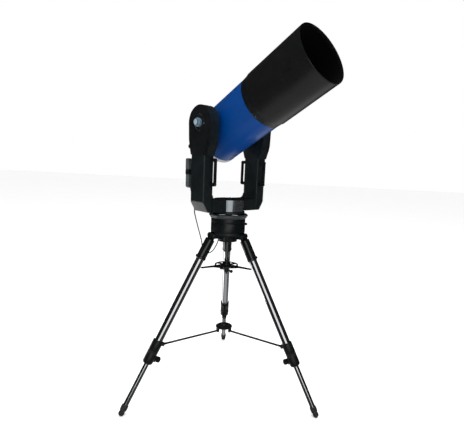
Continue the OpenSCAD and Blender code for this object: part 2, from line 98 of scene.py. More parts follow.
DIFFUSE = 1.12
w = bpy.data.worlds.new("studio"); scene.world = w; w.use_nodes = True
wn = w.node_tree; wn.nodes.clear()
wo = wn.nodes.new("ShaderNodeOutputWorld"); bg = wn.nodes.new("ShaderNodeBackground")
tc = wn.nodes.new("ShaderNodeTexCoord"); sx = wn.nodes.new("ShaderNodeSeparateXYZ")
wn.links.new(tc.outputs["Generated"], sx.inputs[0])


def wmath(op, a, b=None, clamp=False):
    n = wn.nodes.new("ShaderNodeMath"); n.operation = op; n.use_clamp = clamp
    for i, v in enumerate((a, b)):
        if v is None: continue
        if isinstance(v, (int, float)): n.inputs[i].default_value = v
        else: wn.links.new(v, n.inputs[i])
    return n.outputs[0]


def wstep(v, lo, hi, a=0.0, b=1.0):
    n = wn.nodes.new("ShaderNodeMapRange"); n.interpolation_type = "SMOOTHSTEP"
    for i, x in enumerate((lo, hi, a, b)): n.inputs[i + 1].default_value = x
    wn.links.new(v, n.inputs[0]); return n.outputs[0]


# even light for matt surfaces; what shines sees pale paper below and behind, and a dim room above
below = wstep(sx.outputs["Z"], -0.20, -0.75)
lev = wmath("MULTIPLY", wmath("MULTIPLY", below, wstep(sx.outputs["Y"], 0.3, 0.85, 0.05, 1.25)), wstep(sx.outputs["X"], -0.95, -0.3, 0.03, 1.0))
lev = wmath("ADD", lev, wmath("ADD", wstep(sx.outputs["Z"], 0.2, 1.0, 0.015, 0.05), wstep(sx.outputs["Z"], -0.78, -0.93, 0.0, 0.34)))
lp = wn.nodes.new("ShaderNodeLightPath")
even = wmath("MAXIMUM", wmath("MULTIPLY", lp.outputs["Is Diffuse Ray"], DIFFUSE), lp.outputs["Is Camera Ray"])
mixn = wmath("MAXIMUM", lev, even)
bg.inputs[0].default_value = (1, 1, 1, 1)
wn.links.new(mixn, bg.inputs[1]); wn.links.new(bg.outputs[0], wo.inputs[0])
scene.view_settings.view_transform = "Standard"


def area(name, loc, target, size, power, size_y=None, glossy=True):
    l = bpy.data.lights.new(name, "AREA"); l.energy = power; l.size = size
    if size_y: l.shape = "RECTANGLE"; l.size_y = size_y
    o = bpy.data.objects.new(name, l); scene.collection.objects.link(o)
    o.location = loc; o.rotation_euler = (Vector(target) - Vector(loc)).to_track_quat("-Z", "Y").to_euler()
    o.visible_camera = False; o.visible_glossy = glossy
    return o


area("front_softbox", (0.25, -4.6, 1.35), (0, 0, 1.0), 3.6, 44, 3.6)
area("fill_top", (0.3, -0.8, 4.6), (0, 0, 0.3), 3.4, 150, 3.4, glossy=False)
area("low_bounce", (-1.15, 0.62, 0.05), (-0.3, -0.1, 1.2), 1.0, 6, 1.0)
area("side_left", (-4.2, -1.6, 2.2), (0, 0, 1.1), 1.2, 22, 3.0, glossy=False)

me = bpy.data.meshes.new("floor"); floor = bpy.data.objects.new("floor", me); scene.collection.objects.link(floor)
me.from_pydata([(-30, -30, -0.0005), (30, -30, -0.0005), (30, 30, -0.0005), (-30, 30, -0.0005)], [], [(0, 1, 2, 3)])
floor.visible_glossy = False

# ------------------------------------------------------------------ mesh helpers
def add(name, verts, faces, body, mat, smooth=40, matrix=None):
    m = bpy.data.meshes.new(name)
    m.from_pydata([tuple(v) for v in verts], [], [tuple(f) for f in faces])
    bm = bmesh.new(); bm.from_mesh(m)
    bmesh.ops.remove_doubles(bm, verts=bm.verts, dist=1e-6)
    bmesh.ops.recalc_face_normals(bm, faces=bm.faces)
    bm.to_mesh(m); bm.free()
    if matrix is not None: m.transform(matrix)
    m.polygons.foreach_set("use_smooth", [True] * len(m.polygons))
    o = bpy.data.objects.new(name, m); scene.collection.objects.link(o)
    m.materials.append(mat)
    if smooth is not None: sharp(o, smooth)
    if body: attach(o, body)
    return o


def sharp(o, deg):
    """Marks edges sharper than an angle, so that flat and turned faces shade as they should."""
    bm = bmesh.new(); bm.from_mesh(o.data)
    for e in bm.edges:
        e.smooth = len(e.link_faces) == 2 and e.calc_face_angle(3.14) < math.radians(deg)
    bm.to_mesh(o.data); bm.free()


def lathe(profile, n=64, closed=True, z0=0.0):
    """Verts and faces of a profile [(r, z), ...] in mm turned about Z. The ends are capped where they are off the axis
    only if closed is True.
    """
    v, f = [], []
    k = len(profile)
    for i in range(n):
        c, s = math.cos(2 * math.pi * i / n), math.sin(2 * math.pi * i / n)
        for r, z in profile: v.append((r * c / 1000, r * s / 1000, (z + z0) / 1000))
    m = k if closed else k - 1
    for i in range(n):
        for j in range(m):
            a, b = i * k + j, i * k + (j + 1) % k
            c, d = ((i + 1) % n) * k + (j + 1) % k, ((i + 1) % n) * k + j
            if profile[j][0] == 0 and profile[(j + 1) % k][0] == 0: continue
            f.append([a, b, c, d])
    return v, f


def fix(v, f):
    out = []
    for q in f:
        pts = []
        for i in q:
            p = tuple(round(c, 7) for c in v[i])
            if p not in [x[0] for x in pts]: pts.append((p, i))
        if len(pts) >= 3: out.append([i for _, i in pts])
    return out


def turned(name, profile, body, mat, matrix, n=64, smooth=35, closed=True):
    v, f = lathe(profile, n, closed)
    return add(name, v, fix(v, f), body, mat, smooth, matrix)


def merged(name, parts, body, mat, smooth=35):
    """parts: list of (verts, faces, matrix)."""
    V, F = [], []
    for v, f, m in parts:
        o = len(V)
        V += [tuple(m @ Vector(p)) for p in v]
        F += [[i + o for i in q] for q in f]
    return add(name, V, F, body, mat, smooth)


def box(x0, x1, y0, y1, z0, z1):
    v = [(x / 1000, y / 1000, z / 1000) for x in (x0, x1) for y in (y0, y1) for z in (z0, z1)]
    return v, [(0, 1, 3, 2), (4, 6, 7, 5), (0, 4, 5, 1), (2, 3, 7, 6), (0, 2, 6, 4), (1, 5, 7, 3)]


def bevelled(o, width=0.0004, seg=2, angle=30):
    b = o.modifiers.new("bevel", "BEVEL"); b.width = width; b.segments = seg; b.limit_method = "ANGLE"; b.angle_limit = math.radians(angle)
    b.harden_normals = True
    return o


def cap_screw(r=3.0, h=2.4, hexr=1.5):
    """A socket cap screw's head, base at z = 0, in mm."""
    n = 24; prof = [(0, 0), (r, 0), (r, h * 0.82), (r * 0.9, h), (hexr * 1.02, h)]
    v, f = lathe(prof, n, closed=False)
    f = fix(v, f)
    k = len(prof); o = len(v)
    ring = [i * k + k - 1 for i in range(n)]
    hx = []
    for z in (h, h * 0.35):
        for i in range(n):
            a = 2 * math.pi * i / n
            ph = (a % (math.pi / 3)) - math.pi / 6
            rr = hexr * math.cos(math.pi / 6) / math.cos(ph) * 0.98
            v.append((rr * math.cos(a) / 1000, rr * math.sin(a) / 1000, z / 1000))
    for i in range(n):
        j = (i + 1) % n
        f.append([ring[i], ring[j], o + j, o + i]); f.append([o + i, o + j, o + n + j, o + n + i])
    f.append([o + n + i for i in range(n)])
    return v, f


def pan_screw(r=2.6, h=1.3, slot=True):
    n = 20; prof = [(0, 0), (r, 0), (r, h * 0.35), (r * 0.8, h * 0.8), (r * 0.45, h), (0, h)]
    v, f = lathe(prof, n, closed=False)
    return v, fix(v, f)


def place(m, x=0, y=0, z=0, rx=0, ry=0, rz=0):
    return m @ Matrix.Translation((x / 1000, y / 1000, z / 1000)) @ Matrix.Rotation(math.radians(rz), 4, "Z") @ Matrix.Rotation(math.radians(ry), 4, "Y") @ Matrix.Rotation(math.radians(rx), 4, "X")


# ------------------------------------------------------------------ materials
class Mat:
    def __init__(s, name):
        s.m = bpy.data.materials.new(name); s.m.use_nodes = True; s.t = s.m.node_tree
        s.b = s.t.nodes["Principled BSDF"]; s.c = s.t.nodes.new("ShaderNodeTexCoord")
        s.height = None

    def n(s, kind, **kw):
        x = s.t.nodes.new(kind)
        for k, v in kw.items(): setattr(x, k, v)
        return x

    def link(s, a, b): s.t.links.new(a, b)

    def mapping(s, scale=(1, 1, 1), rot=(0, 0, 0), loc=(0, 0, 0)):
        m = s.n("ShaderNodeMapping"); m.inputs["Scale"].default_value = scale; m.inputs["Rotation"].default_value = rot; m.inputs["Location"].default_value = loc
        s.link(s.c.outputs["Object"], m.inputs["Vector"]); return m.outputs["Vector"]

    def noise(s, scale, detail=3, rough=0.55, vec=None, dist=0.0):
        n = s.n("ShaderNodeTexNoise"); n.inputs["Scale"].default_value = scale; n.inputs["Detail"].default_value = detail
        n.inputs["Roughness"].default_value = rough; n.inputs["Distortion"].default_value = dist
        s.link(vec if vec is not None else s.c.outputs["Object"], n.inputs["Vector"]); return n.outputs["Fac"]

    def voronoi(s, scale, vec=None, feature="F1"):
        n = s.n("ShaderNodeTexVoronoi", feature=feature); n.inputs["Scale"].default_value = scale
        s.link(vec if vec is not None else s.c.outputs["Object"], n.inputs["Vector"]); return n.outputs["Distance"]

    def math(s, op, a, b=None, clamp=False):
        n = s.n("ShaderNodeMath", operation=op, use_clamp=clamp)
        for i, v in enumerate((a, b)):
            if v is None: continue
            if isinstance(v, (int, float)): n.inputs[i].default_value = v
            else: s.link(v, n.inputs[i])
        return n.outputs[0]

    def ramp(s, fac, stops):
        r = s.n("ShaderNodeValToRGB"); s.link(fac, r.inputs[0]); e = r.color_ramp.elements
        while len(e) < len(stops): e.new(0.5)
        for x, (p, c) in zip(e, stops):
            x.position = p; x.color = (c, c, c, 1) if isinstance(c, (int, float)) else tuple(c) + (1,)
        return r.outputs[0]

    def mix(s, fac, a, b, mode="MIX"):
        n = s.n("ShaderNodeMix", data_type="RGBA", blend_type=mode)
        for i, v in ((0, fac), (6, a), (7, b)):
            if isinstance(v, (int, float)): n.inputs[i].default_value = v
            elif isinstance(v, tuple): n.inputs[i].default_value = v + (1,)
            else: s.link(v, n.inputs[i])
        return n.outputs[2]

    def color(s, x):
        if isinstance(x, tuple): s.b.inputs["Base Color"].default_value = x + (1,)
        else: s.link(x, s.b.inputs["Base Color"])

    def rough(s, x):
        if isinstance(x, (int, float)): s.b.inputs["Roughness"].default_value = x
        else: s.link(x, s.b.inputs["Roughness"])

    def set(s, **kw):
        for k, v in kw.items(): s.b.inputs[k.replace("_", " ")].default_value = v
        return s

    def bump(s, h, strength=0.3, dist=0.0003):
        b = s.n("ShaderNodeBump"); b.inputs["Strength"].default_value = strength; b.inputs["Distance"].default_value = dist
        s.link(h, b.inputs["Height"])
        if s.height is not None: s.link(s.height, b.inputs["Normal"])
        s.height = b.outputs[0]; s.link(b.outputs[0], s.b.inputs["Normal"]); return s


def cast_black(name, lo=(0.0026, 0.0042, 0.0048), hi=(0.0052, 0.0076, 0.0086), r0=0.34, r1=0.5, grain=1500, depth=0.00016):
    m = Mat(name)
    big = m.noise(9, 4, 0.6); fine = m.noise(grain, 2, 0.5)
    m.color(m.mix(m.ramp(big, [(0.35, 0.0), (0.7, 1.0)]), lo, hi))
    scuff = m.ramp(m.noise(38, 6, 0.7, dist=0.6), [(0.52, 0.0), (0.66, 1.0)])
    m.rough(m.math("ADD", m.math("MULTIPLY", m.ramp(big, [(0.3, 0.0), (0.75, 1.0)]), r1 - r0), m.math("ADD", m.math("MULTIPLY", scuff, 0.05), r0)))
    m.bump(fine, 0.35, depth)
    m.set(Specular_IOR_Level=0.5)
    return m.m


def plastic(name, col, rough=0.42, grain=2200, depth=0.0001, coat=0.0, var=0.25, spec=0.5):
    m = Mat(name)
    big = m.noise(14, 3, 0.6)
    lo = tuple(c * (1 - var) for c in col); hi = tuple(c * (1 + var) for c in col)
    m.color(m.mix(m.ramp(big, [(0.35, 0.0), (0.65, 1.0)]), lo, hi))
    m.rough(m.math("ADD", m.math("MULTIPLY", m.noise(60, 5, 0.65), 0.16), rough - 0.08))
    m.bump(m.voronoi(grain), 0.3, depth)
    m.set(Specular_IOR_Level=spec, Coat_Weight=coat, Coat_Roughness=0.08)
    return m.m


def chrome(name, axis_rot=(0, 0, 0), base=(0.72, 0.73, 0.75), rough=0.1):
    m = Mat(name)
    v = m.mapping(scale=(260, 260, 3.5), rot=axis_rot)
    streak = m.noise(1.0, 4, 0.6, vec=v)
    cloud = m.noise(11, 5, 0.65)
    m.color(m.mix(m.ramp(streak, [(0.3, 0.0), (0.7, 1.0)]), tuple(c * 0.9 for c in base), base))
    m.rough(m.math("ADD", m.math("MULTIPLY", m.ramp(cloud, [(0.42, 0.0), (0.75, 1.0)]), 0.07), m.math("ADD", m.math("MULTIPLY", streak, 0.05), rough - 0.03)))
    m.bump(streak, 0.06, 0.00005)
    m.set(Metallic=1.0)
    return m.m


def steel(name, base=(0.46, 0.47, 0.49), rough=0.28):
    m = Mat(name)
    n = m.noise(420, 3, 0.6); c = m.noise(40, 4, 0.6)
    m.color(m.mix(c, tuple(x * 0.8 for x in base), base)); m.rough(m.math("ADD", m.math("MULTIPLY", n, 0.14), rough - 0.06))
    m.bump(n, 0.12, 0.00005); m.set(Metallic=1.0)
    return m.m


MAT = {}
MAT["cast"] = cast_black("cast_black_powder_coat")
MAT["arm"] = cast_black("fork_black_powder_coat", (0.0034, 0.0062, 0.0072), (0.0058, 0.0098, 0.0112), 0.34, 0.46, 1300, 0.00018)
m = Mat("fork_base_coat_and_turned_hub")
sxyz = m.n("ShaderNodeSeparateXYZ"); m.link(m.c.outputs["Object"], sxyz.inputs[0])
yy = m.math("SUBTRACT", sxyz.outputs["Y"], AY)
rr = m.math("SQRT", m.math("ADD", m.math("MULTIPLY", sxyz.outputs["X"], sxyz.outputs["X"]), m.math("MULTIPLY", yy, yy)))
on = m.math("MULTIPLY", m.math("MULTIPLY", m.math("GREATER_THAN", rr, 0.0893), m.math("LESS_THAN", rr, 0.0903)), m.math("GREATER_THAN", sxyz.outputs["Z"], 1.1488))
big = m.noise(9, 4, 0.6); fine = m.noise(1300, 2, 0.5)
lines = m.noise(1.0, 3, 0.6, vec=m.mapping(scale=(6, 6, 1400)))
coat = m.mix(m.ramp(big, [(0.35, 0.0), (0.7, 1.0)]), (0.0034, 0.0062, 0.0072), (0.0058, 0.0098, 0.0112))
m.color(m.mix(on, coat, m.mix(lines, (0.30, 0.33, 0.345), (0.40, 0.435, 0.45))))
m.rough(m.math("ADD", m.math("MULTIPLY", on, -0.16), m.math("ADD", m.math("MULTIPLY", big, 0.1), 0.36)))
m.link(m.math("MULTIPLY", on, 0.95), m.b.inputs["Metallic"])
m.bump(m.mix(on, fine, lines), 0.25, 0.00012); MAT["hubcast"] = m.m
m = Mat("azimuth_circle_satin")
turn = m.noise(1.0, 3, 0.6, vec=m.mapping(scale=(8, 8, 1200)))
m.color(m.mix(turn, (0.05, 0.056, 0.06), (0.075, 0.083, 0.088))); m.rough(m.math("ADD", m.math("MULTIPLY", turn, 0.12), 0.2)); m.bump(turn, 0.12, 0.00006); m.set(Metallic=0.6); MAT["ring"] = m.m
MAT["drum"] = cast_black("drive_base_satin_black", (0.0014, 0.0030, 0.0038), (0.0028, 0.0048, 0.0058), 0.28, 0.38, 1400, 0.00012)
MAT["cover"] = plastic("cover_black_moulding", (0.0044, 0.0052, 0.0058), 0.36, 1900, 0.00009)
MAT["socket"] = plastic("socket_gloss_black", (0.003, 0.0036, 0.004), 0.16, 900, 0.00002, coat=0.6)
MAT["blackpaint"] = cast_black("strut_black_paint", (0.002, 0.003, 0.0035), (0.0045, 0.0055, 0.0062), 0.3, 0.42, 900, 0.00006)
MAT["plastic"] = plastic("black_moulding", (0.0042, 0.0048, 0.0054), 0.4)
MAT["greyplastic"] = plastic("grey_moulding", (0.055, 0.064, 0.066), 0.42, 1800, 0.00012)
MAT["keys"] = plastic("keypad_silicone", (0.36, 0.38, 0.39), 0.55, 3000, 0.00005)
MAT["red"] = plastic("switch_red_moulding", (0.42, 0.02, 0.015), 0.25, 1500, 0.00003, coat=0.3)
MAT["steel"] = steel("machined_steel")
MAT["brass"] = steel("machined_brass", (0.55, 0.38, 0.13), 0.3)
MAT["lower"] = chrome("lower_leg_chrome", rough=0.12)

m = Mat("foot_rubber")
m.color(m.mix(m.ramp(m.noise(70, 5, 0.7), [(0.45, 0.0), (0.62, 1.0)]), (0.011, 0.0115, 0.012), (0.024, 0.0235, 0.0225)))
m.rough(m.math("ADD", m.math("MULTIPLY", m.noise(200, 4, 0.6), 0.18), 0.55)); m.bump(m.noise(1600, 3, 0.6), 0.4, 0.0002); MAT["rubber"] = m.m

m = Mat("cord_jacket")
m.color(m.mix(m.noise(30, 3, 0.6), (0.008, 0.0085, 0.009), (0.016, 0.0165, 0.017)))
m.rough(m.math("ADD", m.math("MULTIPLY", m.noise(500, 3, 0.6), 0.12), 0.36)); m.bump(m.noise(1300, 2, 0.5), 0.2, 0.0001); MAT["cord"] = m.m

# blue enamel: a deep gloss coat with faint flake and orange peel
m = Mat("tube_blue_enamel")
flake = m.ramp(m.voronoi(2600), [(0.0, 1.0), (0.45, 0.0)])
body = m.mix(m.noise(5, 3, 0.5), (0.0000, 0.0285, 0.142), (0.0000, 0.0350, 0.166))
m.color(m.mix(m.math("MULTIPLY", flake, 0.25), body, (0.0, 0.056, 0.24)))
m.rough(m.math("ADD", m.math("MULTIPLY", m.noise(120, 3, 0.5), 0.06), 0.27))
m.bump(m.noise(230, 2, 0.5), 0.08, 0.0004)
m.set(Coat_Weight=0.18, Coat_Roughness=0.07, Coat_IOR=1.42, Specular_IOR_Level=0.16); MAT["blue"] = m.m

# dew shield: satin black lacquer over thin sheet, with a fine grain along the roll
m = Mat("shield_black_lacquer")
grain = m.noise(1.0, 4, 0.6, vec=m.mapping(scale=(900, 900, 900)))
cloud = m.noise(7, 4, 0.6)
m.color(m.mix(m.ramp(cloud, [(0.3, 0.0), (0.7, 1.0)]), (0.0036, 0.0038, 0.004), (0.006, 0.0062, 0.0064)))
m.rough(m.math("ADD", m.math("MULTIPLY", cloud, 0.08), m.math("ADD", m.math("MULTIPLY", m.noise(60, 5, 0.7), 0.06), 0.26)))
m.bump(grain, 0.18, 0.00008); m.set(Specular_IOR_Level=0.5); MAT["shield"] = m.m

# flocking inside the shield
m = Mat("flocked_black_lining")
m.color(m.mix(m.noise(900, 3, 0.6), (0.0004, 0.0004, 0.0004), (0.0013, 0.0013, 0.0014)))
m.rough(m.math("ADD", m.math("MULTIPLY", m.noise(300, 2, 0.5), 0.08), 0.9)); m.bump(m.noise(2600, 2, 0.6), 0.7, 0.0005)
m.set(Sheen_Weight=0.01, Sheen_Roughness=0.6, Specular_IOR_Level=0.04); MAT["flock"] = m.m

# painted reflection: the rear cell is blackish; this light grey colour stands in for the pale floor reflected on its
# curved underside
m = Mat("rear_cell_painted_reflection_grey")
m.color(m.mix(m.noise(8, 4, 0.6), (0.36, 0.38, 0.385), (0.46, 0.48, 0.485)))
m.rough(m.math("ADD", m.math("MULTIPLY", m.noise(90, 4, 0.6), 0.12), 0.3)); m.bump(m.noise(700, 2, 0.5), 0.2, 0.00012)
m.set(Coat_Weight=0.3, Coat_Roughness=0.15); MAT["painted_reflection_grey"] = m.m

m = Mat("lock_knob_anodised")
ang = m.noise(1.0, 3, 0.6, vec=m.mapping(scale=(300, 300, 300)))
m.color(m.mix(m.noise(60, 3, 0.6), (0.075, 0.125, 0.165), (0.115, 0.175, 0.22)))
m.rough(m.math("ADD", m.math("MULTIPLY", ang, 0.1), 0.2)); m.bump(ang, 0.1, 0.00005); m.set(Metallic=0.15, Coat_Weight=0.6, Coat_Roughness=0.08); MAT["knob"] = m.m

m = Mat("corrector_coated_glass")
m.color(m.mix(m.noise(6, 2, 0.5), (0.90, 0.97, 0.98), (0.96, 0.99, 1.0)))
m.rough(m.math("MULTIPLY", m.noise(40, 3, 0.5), 0.02)); m.set(Transmission_Weight=1.0, IOR=1.45, Coat_Weight=0.25, Coat_Roughness=0.02); MAT["glass"] = m.m

m = Mat("aluminised_mirror")
m.color(m.mix(m.noise(5, 2, 0.5), (0.84, 0.86, 0.88), (0.9, 0.91, 0.92))); m.rough(m.math("ADD", m.math("MULTIPLY", m.noise(30, 4, 0.6), 0.015), 0.015)); m.set(Metallic=1.0); MAT["mirror"] = m.m

m = Mat("display_lcd_window")
m.color(m.mix(m.noise(20, 2, 0.5), (0.03, 0.05, 0.035), (0.045, 0.07, 0.05))); m.rough(m.math("ADD", m.math("MULTIPLY", m.noise(80, 3, 0.5), 0.03), 0.06)); m.set(Coat_Weight=1.0, Coat_Roughness=0.03); MAT["lcd"] = m.m

m = Mat("printed_marks_pale")
m.color(m.mix(m.noise(90, 3, 0.6), (0.5, 0.52, 0.53), (0.62, 0.64, 0.65))); m.rough(m.math("ADD", m.math("MULTIPLY", m.noise(200, 2, 0.5), 0.1), 0.45)); MAT["marks"] = m.m

m = Mat("studio_floor")
m.color(m.mix(m.noise(1.2, 3, 0.5), (0.95, 0.953, 0.956), (0.985, 0.985, 0.985))); m.rough(m.math("ADD", m.math("MULTIPLY", m.noise(3, 3, 0.5), 0.1), 0.6)); m.set(Specular_IOR_Level=0.2)
floor.data.materials.append(m.m)


MAT["blacksteel"] = steel("blackened_steel", (0.05, 0.052, 0.056), 0.34)
MAT["knobface"] = plastic("lock_knob_pale_face", (0.20, 0.27, 0.32), 0.25, 900, 0.00004, coat=0.6, var=0.08)
MAT["zinc"] = plastic("zinc_plated_screws", (0.36, 0.37, 0.38), 0.3, 1500, 0.00003, coat=0.3, var=0.15)
MAT["dial"] = plastic("altitude_dial_black", (0.0075, 0.0085, 0.0095), 0.34, 1200, 0.00004)
MAT["faintmarks"] = plastic("dial_marks_grey", (0.16, 0.17, 0.175), 0.5, 1600, 0.00003)
MAT["keytop"] = plastic("key_tops_dark", (0.02, 0.022, 0.024), 0.5, 2600, 0.00005)
MAT["lamp"] = plastic("lamp_red_lens", (0.5, 0.01, 0.01), 0.15, 900, 0.00002, coat=0.8)


def leg_chrome(side):
    """Polished tube whose fine drawing marks run along that leg."""
    a = math.radians(LEGS[side])
    return chrome("leg_chrome_" + side, axis_rot=(0, 0, -a))


NODE_MAT = {
    "tripod_head": "cast", "leg_pivot_bolts": "steel", "tension_rod": "steel", "spreader": "blackpaint", "tension_handle": "plastic", "strut_hub": "plastic",
    "base_housing": "drum", "control_panel": "plastic", "power_switch": "red", "azimuth_gear": "brass", "azimuth_lock_lever": "cast", "azimuth_circle": "ring",
    "fork_base": "hubcast", "fork_arm_left": "arm", "fork_arm_right": "arm", "altitude_cover_left": "cover", "altitude_cover_right": "cover",
    "carry_handles": "plastic", "handle_bolts": "steel", "altitude_lock_knob": "knob", "altitude_slow_knob": "plastic",
    "controller_bracket": "plastic", "hand_controller": "greyplastic", "controller_keypad": "keys", "cord_lower": "cord", "cord_upper": "cord", "cord_plug": "plastic",
    "optical_tube": "blue", "front_cell": "cast", "corrector_plate": "glass", "secondary_cell": "plastic", "dew_shield": "shield", "rear_cell": "painted_reflection_grey",
    "baffle_tube": "cast", "primary_mirror": "mirror", "focus_knob": "plastic", "visual_back": "cast", "altitude_trunnions": "cast", "altitude_gear": "brass"}
for k in LEGS:
    MAT["chrome_" + k] = leg_chrome(k)
    NODE_MAT.update({"leg_socket_" + k: "socket", "upper_leg_" + k: "chrome_" + k, "leg_clamp_" + k: "plastic", "lower_leg_" + k: "lower",
                     "foot_" + k: "rubber", "clamp_knob_" + k: "plastic", "leg_strut_" + k: "blackpaint"})
for name, o in N.items():
    mm = MAT[NODE_MAT[name]]
    if not o.data.materials: o.data.materials.append(mm)
    for i in range(len(o.material_slots)):
        o.material_slots[i].link = "OBJECT"; o.material_slots[i].material = mm

BEVEL = {"fork_arm_left": 2.2, "fork_arm_right": 2.2, "altitude_cover_left": 1.6, "altitude_cover_right": 1.6, "fork_base": 1.2, "carry_handles": 1.6, "hand_controller": 1.4, "controller_bracket": 0.6,
         "tripod_head": 1.2, "base_housing": 0.8, "azimuth_circle": 0.5, "tension_handle": 0.6, "strut_hub": 0.6, "spreader": 0.7, "cord_plug": 0.8, "visual_back": 0.5, "altitude_lock_knob": 0.6, "altitude_slow_knob": 0.5,
         "azimuth_lock_lever": 0.8, "leg_pivot_bolts": 0.6, "control_panel": 0.4, "controller_keypad": 0.4, "power_switch": 0.4, "focus_knob": 0.5, "secondary_cell": 0.5, "front_cell": 0.4, "rear_cell": 0.5}
for k in LEGS: BEVEL.update({"leg_socket_" + k: 0.9, "leg_clamp_" + k: 0.9, "clamp_knob_" + k: 0.7, "leg_strut_" + k: 0.6, "foot_" + k: 0.5})
for name, wd in BEVEL.items():
    o = N[name]
    wl = o.modifiers.new("weld", "WELD"); wl.merge_threshold = 0.00001
    dc = o.modifiers.new("flat", "DECIMATE"); dc.decimate_type = "DISSOLVE"; dc.angle_limit = math.radians(1.0)
    bv = o.modifiers.new("edge", "BEVEL"); bv.width = wd / 1000; bv.segments = 2; bv.limit_method = "ANGLE"; bv.angle_limit = math.radians(35); bv.harden_normals = True; bv.use_clamp_overlap = True

# ------------------------------------------------------------------ hand controller lead
lower = [(-51.3, 114.7, 1046), (-55.5, 126, 1045), (-61, 136, 1032), (-63, 138, 1008), (-62, 132, 980), (-58, 119, 952), (-64, 102, 922), (-84, 74, 886), (-104, 54, 871),
         (-124, 39, 870), (-143, 26, 886), (-152, 17, 912), (-156, 9, 946), (-166, -4, 990), (-179, -20, 1042), (-190, -36, 1090), (-198, -50, 1128), (-199, -52, 1143)]
upper = [(-200, -52.6, 1158), (-206, -53, 1184), (-212, -52, 1216), (-219, -50, 1248), (-223, -47, 1273.6)]


def spline(pts, m):
    P = [np.array(p, float) for p in pts]; out = []
    for i in range(len(P) - 1):
        a, b, c, d = P[max(i - 1, 0)], P[i], P[i + 1], P[min(i + 2, len(P) - 1)]
        for k in range(m):
            t = k / m
            out.append(0.5 * ((2 * b) + (c - a) * t + (2 * a - 5 * b + 4 * c - d) * t * t + (3 * b - a - 3 * c + d) * t ** 3))
    out.append(P[-1]); return out


def sweep(path, radius, n=12, ends=True):
    """Tube of rings along a path in mm, with a frame carried along it."""
    P = [np.array(p) for p in path]; V, F = [], []
    t0 = P[1] - P[0]; t0 /= np.linalg.norm(t0)
    x = np.cross(t0, [0.3, 0.2, 1.0]); x /= np.linalg.norm(x)
    for i, p in enumerate(P):
        t = P[min(i + 1, len(P) - 1)] - P[max(i - 1, 0)]; t /= np.linalg.norm(t)
        x = x - t * np.dot(x, t); x /= np.linalg.norm(x); y = np.cross(t, x)
        r = radius(i / (len(P) - 1)) if callable(radius) else radius
        for k in range(n):
            a = 2 * math.pi * k / n; V.append(tuple((p + r * (math.cos(a) * x + math.sin(a) * y)) / 1000))
    for i in range(len(P) - 1):
        for k in range(n):
            F.append([i * n + k, i * n + (k + 1) % n, (i + 1) * n + (k + 1) % n, (i + 1) * n + k])
    if ends:
        F.append(list(range(n - 1, -1, -1))); F.append([(len(P) - 1) * n + k for k in range(n)])
    return V, F


path = [p + np.array([0, AY * 1000, 0]) for p in spline(lower + upper, 6)][::-1]
v, f = sweep(path, 3.15, 14)
cord = add("controller_lead", v, f, None, MAT["cord"], 60)
for nm, pts, body in (("lead_relief_upper", path[:7], "fork"), ("lead_relief_lower", path[-7:][::-1], "stand_head")):
    L = [0.0]
    for a, b in zip(pts, pts[1:]): L.append(L[-1] + float(np.linalg.norm(b - a)))
    P = [np.array([np.interp(q, L, [p[j] for p in pts]) for j in range(3)]) for q in np.linspace(0.0, min(21.0, L[-1]), 43)]
    # a ribbed sleeve that narrows away from the plug
    rv, rf = sweep(P, lambda t: 5.0 - 1.35 * t + (0.38 if int(t * 42) % 4 < 2 else -0.30), 16)
    add(nm, rv, rf, body, MAT["rubber"], 40)
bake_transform(cord)
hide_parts("cord_lower", "cord_upper")

# ------------------------------------------------------------------ details
I4 = Matrix.Identity(4)


def radial(m, r, ang, z):
    """Local +Z points outwards from m's Z axis."""
    return m @ Matrix.Rotation(math.radians(ang), 4, "Z") @ Matrix.Translation((r / 1000, 0, z / 1000)) @ Matrix.Rotation(math.pi / 2, 4, "Y")


def facing(m, r, ang, z, s=1):
    """Local +Z along m's Z axis, up or down."""
    q = m @ Matrix.Rotation(math.radians(ang), 4, "Z") @ Matrix.Translation((r / 1000, 0, z / 1000))
    return q if s > 0 else q @ Matrix.Rotation(math.pi, 4, "X")


def many(name, shape, mats, body, mat, smooth=35):
    return merged(name, [(shape[0], shape[1], q) for q in mats], body, mat, smooth)


def helix(r, ro, z0, z1, pitch, n=40):
    """A thread's ridge, triangular, wound about Z."""
    turns = (z1 - z0 - pitch) / pitch; k = int(turns * n)
    V, F = [], []
    for i in range(k + 1):
        a = 2 * math.pi * i / n; z = z0 + pitch * i / n
        fade = min(1, i / n, (k - i) / n); rr = r + (ro - r) * fade
        for (q, dz) in ((r - 0.3, 0.06), (rr, 0.42), (rr, 0.58), (r - 0.3, 0.94)):
            V.append((q * math.cos(a) / 1000, q * math.sin(a) / 1000, (z + dz * pitch) / 1000))
    for i in range(k):
        for j in range(4):
            F.append([i * 4 + j, i * 4 + (j + 1) % 4, (i + 1) * 4 + (j + 1) % 4, (i + 1) * 4 + j])
    F.append([3, 2, 1, 0]); F.append([k * 4 + j for j in range(4)])
    return V, F


def ticks(r0, r1, z0, z1, step, long_every, extra, wdt=0.5):
    """Radial marks on a flat dial, in mm."""
    V, F = [], []
    k = 0
    a = 0.0
    while a < 359.99:
        rr = r0 - (extra if k % long_every == 0 else 0)
        v, f = box(rr, r1, -wdt / 2, wdt / 2, z0, z1)
        c, s = math.cos(math.radians(a)), math.sin(math.radians(a)); o = len(V)
        V += [(x * c - y * s, x * s + y * c, z) for x, y, z in v]; F += [[i + o for i in q] for q in f]
        a += step; k += 1
    return V, F


SCREW = cap_screw(2.6, 2.2, 1.35); PAN = pan_screw(2.6, 1.2); SMALL = pan_screw(1.7, 0.7); BIG = cap_screw(4.2, 3.4, 2.2)

